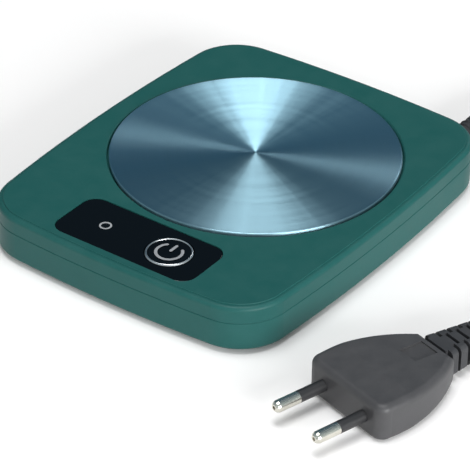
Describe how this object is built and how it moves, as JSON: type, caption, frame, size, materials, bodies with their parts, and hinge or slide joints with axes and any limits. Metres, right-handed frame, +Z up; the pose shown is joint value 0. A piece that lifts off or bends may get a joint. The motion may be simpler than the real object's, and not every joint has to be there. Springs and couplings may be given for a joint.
{
  "type": "electric mug warmer",
  "caption": "Flat electric warmer with a round metal heating plate, gloss control panel with a power key and indicator, and a mains cord with a two-pin plug.",
  "frame": {"origin": "on the table under the middle of the body", "axes": "+Z up, +Y along the body's length away from the control panel towards the wall that the cord leaves, +X to the right when facing the panel"},
  "size_m": [0.2053, 0.2343, 0.0183],
  "materials": {
    "housing": "fine matt texture, deep teal green",
    "plate": "turned aluminium with a fine circular lay, cool blue tint",
    "silicone": "soft silicone",
    "mica": "pressed mica sheet",
    "ceramic_wool": "compressed ceramic fibre",
    "pressed_steel": "bright pressed sheet",
    "zinc_steel": "zinc plated",
    "brass": "bare stamped brass",
    "panel_gloss": "polished black",
    "trim_ring": "bright metal",
    "light_guide": "frosted light guide",
    "board": "green solder mask",
    "component_black": "moulded epoxy",
    "component_yellow": "moulded case",
    "component_tan": "lacquered",
    "fuse_glass": "glass tube with metal caps",
    "terminal_green": "moulded terminal housing",
    "foot_rubber": "soft matt rubber",
    "cord_black": "matt extruded sheath",
    "clamp_nylon": "natural nylon",
    "tie_band": "woven hook and loop band",
    "plug_black": "moulded matt dark grey",
    "nickel": "nickel plated brass",
    "sleeve_black": "moulded insulation",
    "lead_brown": "insulated lead",
    "lead_blue": "insulated lead"
  },
  "bodies": {
    "root": {"base_cover": "housing", "board_screws": "zinc_steel", "clamp_screws": "zinc_steel", "control_board": "board", "control_chip": "component_black", "control_panel": "panel_gloss", "cord_clamp": "clamp_nylon", "cord_coil": "cord_black", "cord_inner": "cord_black", "cord_lead": "cord_black", "cord_tail": "cord_black", "cord_tie": "tie_band", "dropper_resistor": "component_tan", "film_capacitor": "component_yellow", "foot_front_left": "foot_rubber", "foot_front_right": "foot_rubber", "foot_rear_left": "foot_rubber", "foot_rear_right": "foot_rubber", "fuse_clip": "pressed_steel", "heater_element": "mica", "heater_lead_left": "lead_brown", "heater_lead_right": "lead_blue", "heater_pan": "pressed_steel", "heater_tabs": "brass", "heating_plate": "plate", "housing_screws": "zinc_steel", "indicator_lamp": "light_guide", "insulation_pad": "ceramic_wool", "key_switch": "component_black", "light_core": "panel_gloss", "light_ring": "light_guide", "mains_fuse": "fuse_glass", "mains_lead_live": "lead_brown", "mains_lead_neutral": "lead_blue", "pin_sleeve_left": "sleeve_black", "pin_sleeve_right": "sleeve_black", "plate_seal": "silicone", "plug_body": "plug_black", "plug_pin_left": "nickel", "plug_pin_right": "nickel", "plug_relief": "cord_black", "sensor_clip": "pressed_steel", "strain_relief": "cord_black", "stud_nuts": "zinc_steel", "terminal_block": "terminal_green", "thermal_fuse": "component_black", "thermistor": "component_black", "top_housing": "housing", "triac": "component_black"},
    "power_key": {"power_button": "panel_gloss", "button_ring": "trim_ring", "switch_plunger": "component_black"}
  },
  "joints": [
    {"name": "power_key_press", "type": "slide", "parent": "root", "child": "power_key", "axis": [0, 0, -1], "range_m": [0, 0.0006], "stiffness_N_per_m": 1500}
  ]
}
